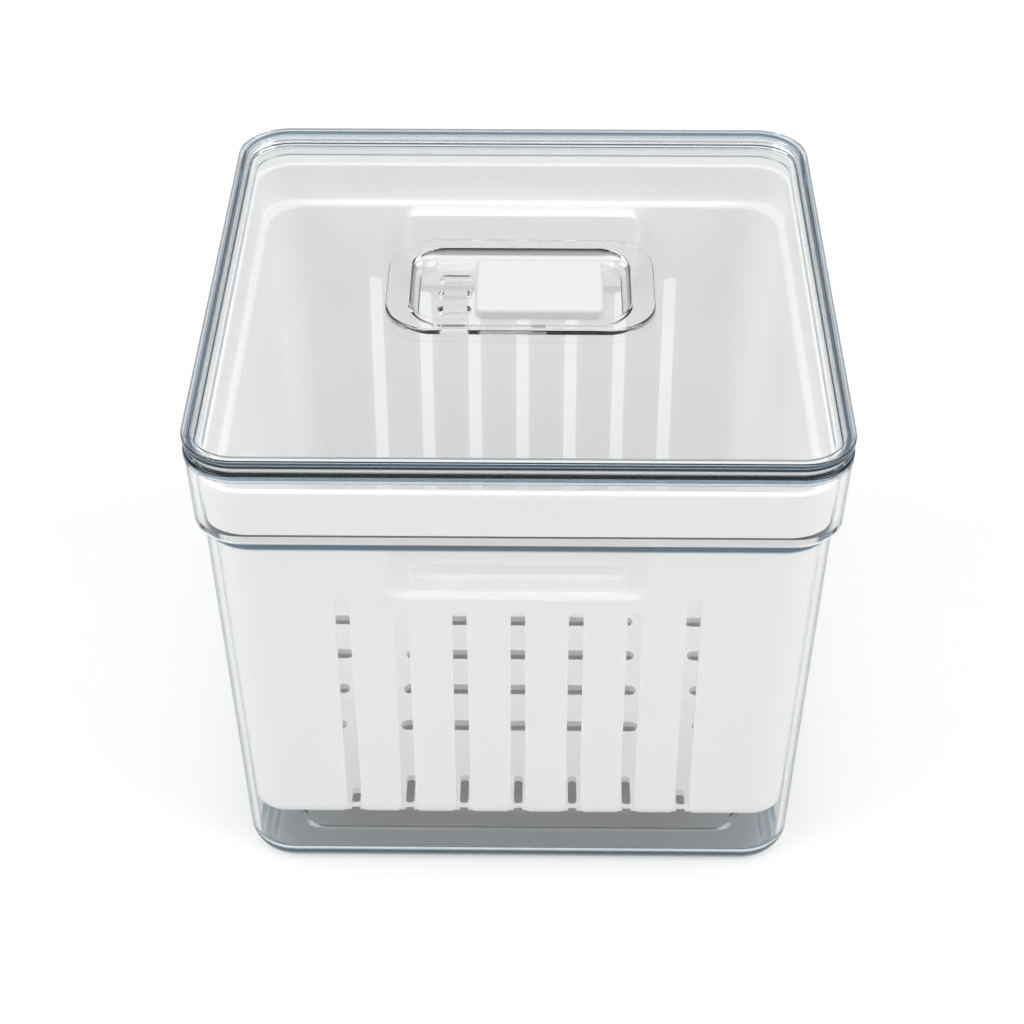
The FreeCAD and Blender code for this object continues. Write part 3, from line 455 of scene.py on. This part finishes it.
def white_abs(look):
    """ABS, injection moulded with a smooth, lightly polished face: whiter and glossier than the basket."""
    material, tree = new_material("white_abs_smooth")
    place = {"Vector": add_node(tree, "ShaderNodeTexCoord").outputs["Object"]}
    haze = add_node(tree, "ShaderNodeTexNoise", "handling haze", place, Scale=1 / HAZE_PATCH, Detail=3.0)
    gloss = add_node(
        tree,
        "ShaderNodeMapRange",
        "",
        {"Value": haze.outputs["Fac"]},
        To_Min=look.slider_roughness - SLIDER_HAZE,
        To_Max=look.slider_roughness + SLIDER_HAZE,
    )
    body = add_node(
        tree,
        "ShaderNodeBsdfPrincipled",
        "",
        {"Roughness": gloss.outputs["Result"]},
        Base_Color=linear(look.slider_colour),
        IOR=1.53,
        Subsurface_Weight=look.slider_glow,
        Subsurface_Scale=1.0 * MM,
    )
    add_node(tree, "ShaderNodeOutputMaterial", "", {"Surface": body.outputs[0]})
    return material


def painted_edge_shades():
    """Painted blue-grey and navy shade along the clear plastic's long edges: lowest and highest point, how far out
    each band starts, and strength.
    """
    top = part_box("lid")[1][2]
    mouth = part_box("outer_bin")[1][2]
    step = top - SHOULDER_DROP
    return (
        (0.6 * MM, 2.4 * MM, 0.5 * MM, 0.9),  # low on the foot's round edge
        (4.4 * MM, 6.6 * MM, 2.0 * MM, 0.9),  # top of the foot's round edge
        (step - 2.9 * MM, step + 0.1 * MM, 9.4 * MM, 1.0),  # under the shoulder
        (mouth - 1.4 * MM, mouth + 0.2 * MM, 11.6 * MM, 0.8),  # bead at the bin's mouth
        (mouth - 2.2 * MM, top, 11.6 * MM, 0.22),  # all of the lid's rim and the bead, weakly
        (top - 1.9 * MM, top - 0.3 * MM, 12.0 * MM, 0.9),  # upper edge of the lid's rim
    )


def paint(piece, material):
    """Gives the piece this one material."""
    piece.data.materials.clear()
    piece.data.materials.append(material)


# Pieces


def rounder_foot(look, half_width, top_corner):
    """A Geometry Nodes tree that makes the bin's foot rounder. Its flat walls and floor stay where they are.

    The corners keep the radius that they have at the shoulder, down to the foot. Both bottom edges grow in
    proportion, away from the line where their wall and floor would meet, so they stay round. A point's depth is how
    far it lies inside the leaning outer wall.
    """
    tree = bpy.data.node_groups.new("rounder_foot", "GeometryNodeTree")
    sizes = {
        "Half width": half_width,
        "Corner": look.corner,
        "Top corner": top_corner,
        "Lean": math.tan(look.draft),
        "Outer round": look.outer_round,
        "Inner round": look.inner_round,
        "Wall": look.wall,
        "Plate": look.plate,
        "More round": look.more_round,
        "Edge share": EDGE_SHARE,
        "Edge slack": EDGE_SLACK,
    }
    tree.interface.new_socket("Geometry", in_out="INPUT", socket_type="NodeSocketGeometry")
    for name, size in sizes.items():
        tree.interface.new_socket(name, in_out="INPUT", socket_type="NodeSocketFloat").default_value = size
    tree.interface.new_socket("Material", in_out="INPUT", socket_type="NodeSocketMaterial")
    tree.interface.new_socket("Geometry", in_out="OUTPUT", socket_type="NodeSocketGeometry")
    given = add_node(tree, "NodeGroupInput").outputs

    # How far out a point lies, seen from above, from the square through the corners' middles.
    place = add_node(tree, "GeometryNodeInputPosition").outputs[0]
    height = add_node(tree, "ShaderNodeSeparateXYZ", "", {0: place}).outputs["Z"]
    level = add_node(tree, "ShaderNodeVectorMath", "seen from above", {0: place}, operation="MULTIPLY")
    level.inputs[1].default_value = (1, 1, 0)
    quarter = add_node(tree, "ShaderNodeVectorMath", "", {0: level.outputs[0]}, operation="ABSOLUTE")
    side = add_node(tree, "ShaderNodeMath", "", {0: given["Half width"], 1: given["Corner"]}, operation="SUBTRACT")
    on_both = {"X": side.outputs[0], "Y": side.outputs[0]}
    corner = add_node(tree, "ShaderNodeCombineXYZ", "corner's middle", on_both)
    beyond = {0: quarter.outputs[0], 1: corner.outputs[0]}
    past = add_node(tree, "ShaderNodeVectorMath", "past the middle", beyond, operation="SUBTRACT")
    only = add_node(tree, "ShaderNodeVectorMath", "", {0: past.outputs[0]}, operation="MAXIMUM")
    out = add_node(tree, "ShaderNodeVectorMath", "how far out", {0: only.outputs[0]}, operation="LENGTH")
    sign = add_node(tree, "ShaderNodeVectorMath", "which quarter", {0: place}, operation="SIGN")
    unit = add_node(tree, "ShaderNodeVectorMath", "", {0: only.outputs[0]}, operation="NORMALIZE")
    way = {0: unit.outputs[0], 1: sign.outputs[0]}
    outward = add_node(tree, "ShaderNodeVectorMath", "outward", way, operation="MULTIPLY")

    # A point in a corner slides along with the corner's middle, and outward by as much as the corner grows.
    spread = add_node(tree, "ShaderNodeSeparateXYZ", "", {0: past.outputs[0]})
    both_ways = {0: spread.outputs["X"], 1: spread.outputs["Y"]}
    least = add_node(tree, "ShaderNodeMath", "", both_ways, operation="MINIMUM")
    in_corner = add_node(tree, "ShaderNodeMath", "in a corner", {0: least.outputs[0]}, operation="GREATER_THAN")
    in_corner.inputs[1].default_value = -CORNER_SLACK
    turn = add_node(tree, "ShaderNodeVectorMath", "", {0: unit.outputs[0]}, operation="SUBTRACT")
    turn.inputs[1].default_value = (1, 1, 0)
    its_way = {0: turn.outputs[0], 1: sign.outputs[0]}
    slide = add_node(tree, "ShaderNodeVectorMath", "", its_way, operation="MULTIPLY")

    # The point's place across the edge: how deep inside the outer wall, and how high.
    wall_line = {0: height, 1: given["Lean"], 2: given["Corner"]}
    wall_out = add_node(tree, "ShaderNodeMath", "where the wall is", wall_line, operation="MULTIPLY_ADD")
    still_missing = {0: given["Top corner"], 1: wall_out.outputs[0]}
    missing = add_node(tree, "ShaderNodeMath", "", still_missing, operation="SUBTRACT", use_clamp=True)
    wider = {0: missing.outputs[0], 1: in_corner.outputs[0]}
    widening = add_node(tree, "ShaderNodeMath", "how much the corner grows", wider, operation="MULTIPLY")
    inside = {0: wall_out.outputs[0], 1: out.outputs["Value"]}
    depth = add_node(tree, "ShaderNodeMath", "depth", inside, operation="SUBTRACT")
    point = add_node(tree, "ShaderNodeCombineXYZ", "across the edge", {"X": depth.outputs[0], "Y": height})

    # The outer edge lies one radius from its own middle, and the inner edge nearer to it.
    round_of = {"X": given["Outer round"], "Y": given["Outer round"]}
    middle = add_node(tree, "ShaderNodeCombineXYZ", "the outer edge's middle", round_of)
    apart = {0: point.outputs[0], 1: middle.outputs[0]}
    away = add_node(tree, "ShaderNodeVectorMath", "", apart, operation="DISTANCE")
    between = {0: given["Outer round"], 1: given["Edge share"]}
    limit = add_node(tree, "ShaderNodeMath", "between the edges", between, operation="MULTIPLY")
    farther = {0: away.outputs["Value"], 1: limit.outputs[0]}
    is_outer = add_node(tree, "ShaderNodeMath", "on the outer edge", farther, operation="GREATER_THAN")
    outer = add_node(tree, "ShaderNodeCombineXYZ", "outer edge", {"Z": given["Outer round"]})
    lines = {"X": given["Wall"], "Y": given["Plate"], "Z": given["Inner round"]}
    inner = add_node(tree, "ShaderNodeCombineXYZ", "inner edge", lines)
    either = {0: is_outer.outputs[0], 4: inner.outputs[0], 5: outer.outputs[0]}
    edge = add_node(tree, "ShaderNodeMix", "its wall, floor and radius", either, data_type="VECTOR")
    radius = add_node(tree, "ShaderNodeSeparateXYZ", "", {0: edge.outputs[1]}).outputs["Z"]

    # The move: in proportion to the distance from the line where wall and floor would meet.
    from_line = {0: point.outputs[0], 1: edge.outputs[1]}
    reach = add_node(tree, "ShaderNodeVectorMath", "from the line", from_line, operation="SUBTRACT")
    spans = add_node(tree, "ShaderNodeSeparateXYZ", "", {0: reach.outputs[0]})
    both = {0: spans.outputs["X"], 1: spans.outputs["Y"]}
    widest = add_node(tree, "ShaderNodeMath", "", both, operation="MAXIMUM")
    end = add_node(tree, "ShaderNodeMath", "end of the edge", {0: radius, 1: given["Edge slack"]}, operation="ADD")
    is_near = {0: widest.outputs[0], 1: end.outputs[0]}
    near = add_node(tree, "ShaderNodeMath", "within the edge", is_near, operation="LESS_THAN")
    ratio = add_node(tree, "ShaderNodeMath", "", {0: given["More round"], 1: radius}, operation="DIVIDE")
    counted = {0: ratio.outputs[0], 1: near.outputs[0]}
    growth = add_node(tree, "ShaderNodeMath", "growth", counted, operation="MULTIPLY")
    grown = {"Vector": reach.outputs[0], "Scale": growth.outputs[0]}
    move = add_node(tree, "ShaderNodeVectorMath", "move across the edge", grown, operation="SCALE")
    parts = add_node(tree, "ShaderNodeSeparateXYZ", "", {0: move.outputs[0]})
    rise = parts.outputs["Y"]
    leaning = {0: rise, 1: given["Lean"]}
    leaned = add_node(tree, "ShaderNodeMath", "what the lean gives", leaning, operation="MULTIPLY")
    net = {0: leaned.outputs[0], 1: parts.outputs["X"]}
    outset = add_node(tree, "ShaderNodeMath", "", net, operation="SUBTRACT")
    aside = {"Vector": outward.outputs[0], "Scale": outset.outputs[0]}
    shift = add_node(tree, "ShaderNodeVectorMath", "", aside, operation="SCALE")
    lift = add_node(tree, "ShaderNodeCombineXYZ", "", {"Z": rise})
    edge_move = {0: lift.outputs[0], 1: shift.outputs[0]}
    edge_offset = add_node(tree, "ShaderNodeVectorMath", "", edge_move, operation="ADD")
    sliding = {"Vector": slide.outputs[0], "Scale": widening.outputs[0]}
    corner_offset = add_node(tree, "ShaderNodeVectorMath", "", sliding, operation="SCALE")
    whole = {0: edge_offset.outputs[0], 1: corner_offset.outputs[0]}
    offset = add_node(tree, "ShaderNodeVectorMath", "", whole, operation="ADD")
    moving = {"Geometry": given["Geometry"], "Offset": offset.outputs[0]}
    moved = add_node(tree, "GeometryNodeSetPosition", "rounder foot", moving)
    real = add_node(tree, "GeometryNodeRealizeInstances", "", {0: moved.outputs[0]})
    dressed = {"Geometry": real.outputs[0], "Material": given["Material"]}
    done = add_node(tree, "GeometryNodeSetMaterial", "", dressed)
    add_node(tree, "NodeGroupOutput", "", {0: done.outputs[0]})
    return tree


def make_bin(look, material):
    """The bin with its rounder foot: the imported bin's mesh, merged, with its own smooth normals kept."""
    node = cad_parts["outer_bin"]
    mesh = node.data.copy()
    mesh.materials.clear()
    normals = [tuple(corner.vector) for corner in mesh.corner_normals]
    shape = bmesh.new()
    shape.from_mesh(mesh)
    bmesh.ops.remove_doubles(shape, verts=shape.verts, dist=MERGE_GAP)
    shape.to_mesh(mesh)
    shape.free()
    if len(mesh.loops) != len(normals):
        raise RuntimeError("merging the bin dropped faces, so its normals don't fit")
    piece = bpy.data.objects.new("clear_bin", mesh)
    bpy.context.scene.collection.objects.link(piece)
    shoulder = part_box("lid")[1][2] - SHOULDER_DROP
    half_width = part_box("lid")[1][0] - SHOULDER_DROP * math.tan(BAND_DRAFT) - SHOULDER_STEP
    half_width -= shoulder * math.tan(look.draft)
    tree = rounder_foot(look, half_width, look.corner + shoulder * math.tan(look.draft))
    modifier = piece.modifiers.new("rounder foot", "NODES")
    modifier.node_group = tree
    for item in tree.interface.items_tree:
        if item.in_out == "INPUT" and item.name == "Material":
            modifier[item.identifier] = material
    result = bpy.data.meshes.new_from_object(piece.evaluated_get(bpy.context.evaluated_depsgraph_get()))
    piece.modifiers.remove(modifier)
    piece.data = result
    result.name = "clear_bin"
    result.normals_split_custom_set(normals)
    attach(piece, "bin")
    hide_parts("outer_bin")
    return piece


class DressBin(bpy.types.Operator):
    """Makes the bin with its rounder foot, and gives bin and lid their clear plastic"""

    bl_idname = "keeper.dress_clear"
    bl_label = "Clear bin and lid"

    def execute(self, context):
        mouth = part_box("outer_bin")[1][2]
        seam = tuple(mouth + height for height in SEAM_HEIGHTS) + (SEAM_REACH, 1.0)
        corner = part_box("lid")[1][0] - LID_CORNER
        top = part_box("lid")[1][2]
        cup = CUP_HALF + tuple(top - drop for drop in CUP_SIDES)
        material = clear_styrene(context.scene.keeper_clear, painted_edge_shades(), seam, corner, cup)
        make_bin(context.scene.keeper_foot, material)
        paint(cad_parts["lid"], material)
        return {"FINISHED"}


class DressBasket(bpy.types.Operator):
    """Gives the colander basket its satin white plastic"""

    bl_idname = "keeper.dress_basket"
    bl_label = "Colander basket"

    def execute(self, context):
        paint(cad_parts["colander_basket"], white_polypropylene(context.scene.keeper_white))
        return {"FINISHED"}


class DressSlider(bpy.types.Operator):
    """Gives the vent slider its smooth white plastic"""

    bl_idname = "keeper.dress_slider"
    bl_label = "Vent slider"

    def execute(self, context):
        paint(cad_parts["vent_slider"], white_abs(context.scene.keeper_white))
        return {"FINISHED"}


# Stage


def stage_floor(look):
    """A plain pale floor that shows white where nothing shades it, and keeps the keeper's shadow."""
    mesh = bpy.data.meshes.new("studio_floor")
    reach = FLOOR_WIDTH / 2
    corners = [(-reach, -reach, 0), (reach, -reach, 0), (reach, reach, 0), (-reach, reach, 0)]
    mesh.from_pydata(corners, [], [(0, 1, 2, 3)])
    floor = bpy.data.objects.new("studio_floor", mesh)
    bpy.context.scene.collection.objects.link(floor)
    material, tree = new_material("studio_floor_paint")
    paper = add_node(tree, "ShaderNodeBsdfDiffuse", "", None, Color=linear(look.floor_colour))
    rays = add_node(tree, "ShaderNodeLightPath")
    shader = paper
    seen = look.seen_lift
    lifts = (("Is Camera Ray", look.floor_lift), ("Is Transmission Ray", seen), ("Is Glossy Ray", seen))
    for kind, strength in lifts:
        lift = add_node(tree, "ShaderNodeEmission", "backdrop white", None, Color=(1, 1, 1, 1), Strength=strength)
        both = add_node(tree, "ShaderNodeAddShader")
        tree.links.new(paper.outputs[0], both.inputs[0])
        tree.links.new(lift.outputs[0], both.inputs[1])
        mix = add_node(tree, "ShaderNodeMixShader", kind)
        tree.links.new(rays.outputs[kind], mix.inputs[0])
        tree.links.new(shader.outputs[0], mix.inputs[1])
        tree.links.new(both.outputs[0], mix.inputs[2])
        shader = mix
    add_node(tree, "ShaderNodeOutputMaterial", "", {"Surface": shader.outputs[0]})
    mesh.materials.append(material)


def add_lamp(name, place, size, watts):
    """A square soft lamp that faces the keeper."""
    light = bpy.data.lights.new(name, "AREA")
    light.shape = "SQUARE"
    light.size = size
    light.energy = watts
    lamp = bpy.data.objects.new(name, light)
    lamp.location = place
    lamp.rotation_euler = (KEEPER_MIDDLE - Vector(place)).to_track_quat("-Z", "Y").to_euler()
    bpy.context.scene.collection.objects.link(lamp)


def studio_world(look):
    """Soft white light from all round. Seen in or through the clear plastic, it has dark walls and a white roof."""
    world = bpy.data.worlds.new("studio_world")
    world.use_nodes = True
    tree = world.node_tree
    tree.nodes.clear()
    place = add_node(tree, "ShaderNodeTexCoord")
    axes = add_node(tree, "ShaderNodeSeparateXYZ", "", {"Vector": place.outputs["Generated"]})
    walls = add_node(tree, "ShaderNodeValToRGB", "dark walls, white roof", {"Fac": axes.outputs["Z"]})
    band = walls.color_ramp
    band.elements[0].color = linear(look.room_colour)
    band.elements[1].color = linear("#FFFFFF")
    band.elements[1].position = ROOF_START
    band.elements.new(WALL_TOP).color = linear(look.room_colour)
    roof = add_node(
        tree,
        "ShaderNodeMapRange",
        "brighter overhead",
        {"Value": axes.outputs["Z"]},
        To_Min=look.horizon_light,
        To_Max=1.0,
    )
    strength = {"Strength": roof.outputs["Result"]}
    soft = add_node(tree, "ShaderNodeBackground", "light on the keeper", strength, Color=(1, 1, 1, 1))
    tint = {"Color": walls.outputs["Color"]}
    room = add_node(tree, "ShaderNodeBackground", "room in the gloss", tint, Strength=1.0)
    white = add_node(tree, "ShaderNodeBackground", "backdrop", None, Color=(1, 1, 1, 1), Strength=1.0)
    rays = add_node(tree, "ShaderNodeLightPath")
    shader = soft
    for kind, seen in (("Is Camera Ray", white), ("Is Transmission Ray", room), ("Is Glossy Ray", room)):
        mix = add_node(tree, "ShaderNodeMixShader", kind)
        tree.links.new(rays.outputs[kind], mix.inputs[0])
        tree.links.new(shader.outputs[0], mix.inputs[1])
        tree.links.new(seen.outputs[0], mix.inputs[2])
        shader = mix
    add_node(tree, "ShaderNodeOutputWorld", "", {"Surface": shader.outputs[0]})
    bpy.context.scene.world = world


def photo_camera(look):
    """The camera at the photo's angle, fitted to the keeper's outline there."""
    camera = bpy.data.objects.new("camera", bpy.data.cameras.new("camera"))
    camera.data.lens = look.focal_length
    camera.data.sensor_width = SENSOR_WIDTH
    camera.data.clip_start = 0.01
    turn = Euler((math.pi / 2 - look.pitch, 0, -look.yaw)).to_matrix() @ Matrix.Rotation(look.roll, 3, "Z")
    back = turn @ Vector((0, 0, 1))
    camera.matrix_world = Matrix.Translation(Vector(look.target) + back * look.distance) @ turn.to_4x4()
    bpy.context.scene.collection.objects.link(camera)
    bpy.context.scene.camera = camera


class BuildStage(bpy.types.Operator):
    """Builds the studio: floor, lamps, world and the camera"""

    bl_idname = "keeper.build_stage"
    bl_label = "Studio"

    def execute(self, context):
        look = context.scene.keeper_studio
        stage_floor(look)
        aside, forward, height = look.lamp_place
        add_lamp("lamp_left", (-aside, forward, height), look.lamp_size, look.lamp_power)
        add_lamp("lamp_right", (aside, forward, height), look.lamp_size, look.lamp_power)
        studio_world(look)
        # Light bounces many times inside a clear wall before it comes out.
        context.scene.cycles.max_bounces = 9
        context.scene.cycles.diffuse_bounces = 3
        context.scene.cycles.glossy_bounces = 4
        context.scene.cycles.transmission_bounces = 9
        context.scene.cycles.transparent_max_bounces = 12
        photo_camera(look)
        context.scene.view_settings.view_transform = "Standard"
        return {"FINISHED"}


class KeeperPanel(bpy.types.Panel):
    """Lists the keeper's pieces and looks"""

    bl_idname = "VIEW3D_PT_keeper"
    bl_label = "Fridge keeper"
    bl_space_type = "VIEW_3D"
    bl_region_type = "UI"
    bl_category = "Keeper"

    def draw(self, context):
        for operator in OPERATORS:
            self.layout.operator(operator.bl_idname)
        for group in GROUPS:
            settings = getattr(context.scene, group)
            box = self.layout.box()
            for name in settings.bl_rna.properties.keys():
                if name not in ("rna_type", "name"):
                    box.prop(settings, name)


GROUPS = {
    "keeper_clear": ClearPlastic,
    "keeper_foot": BinFoot,
    "keeper_white": WhitePlastic,
    "keeper_studio": Studio,
}
OPERATORS = (DressBin, DressBasket, DressSlider, BuildStage)
CLASSES = tuple(GROUPS.values()) + OPERATORS + (KeeperPanel,)


def register():
    for item in CLASSES:
        bpy.utils.register_class(item)
    for name, group in GROUPS.items():
        setattr(bpy.types.Scene, name, PointerProperty(type=group))


def unregister():
    for name in GROUPS:
        delattr(bpy.types.Scene, name)
    for item in reversed(CLASSES):
        bpy.utils.unregister_class(item)


def main():
    register()
    bpy.ops.keeper.dress_clear()
    bpy.ops.keeper.dress_basket()
    bpy.ops.keeper.dress_slider()
    bpy.ops.keeper.build_stage()


if __name__ == "__main__":
    main()
